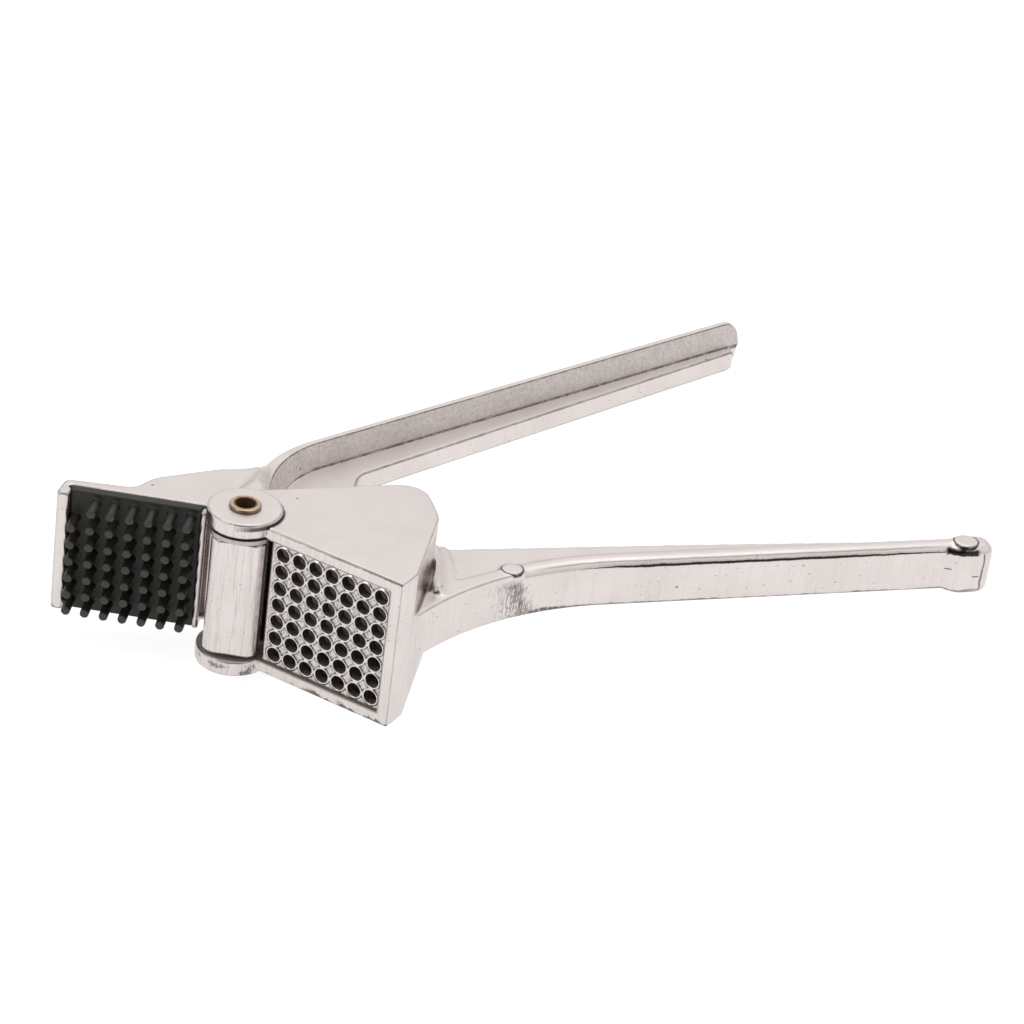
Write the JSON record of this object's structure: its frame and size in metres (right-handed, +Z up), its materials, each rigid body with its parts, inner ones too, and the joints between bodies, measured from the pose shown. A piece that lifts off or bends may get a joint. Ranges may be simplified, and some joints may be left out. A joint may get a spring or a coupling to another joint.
{
  "type": "garlic press",
  "caption": "Self-cleaning lever garlic press: a hopper with a sieve and a plunger on two hinged cast arms, with a pin grid that pushes through the sieve when folded back.",
  "frame": {"origin": "where the hinge axis leaves the flat lower head of the pivot rivet", "axes": "+X along the hopper's handle, away from the hinge; +Z up the hinge axis; +Y towards the plunger's handle"},
  "size_m": [0.1747, 0.1142, 0.0332],
  "materials": {
    "cast_aluminium": "satin, die cast and tumbled",
    "black_plastic": "fine matte, slightly rubbery",
    "rivet_metal": "nickel plated, warm tint",
    "washer_steel": "plain"
  },
  "bodies": {
    "hopper": {"hopper_arm": "cast_aluminium", "sieve_plate": "cast_aluminium", "pivot_rivet": "rivet_metal", "thrust_washer": "washer_steel"},
    "plunger": {"plunger_arm": "cast_aluminium", "cleaning_insert": "black_plastic"}
  },
  "joints": [
    {"name": "press_hinge", "type": "hinge", "parent": "hopper", "child": "plunger", "pos_m": [0, 0, 0.0167], "axis": [0, 0, 1], "range_deg": [-24, 152.5]}
  ]
}
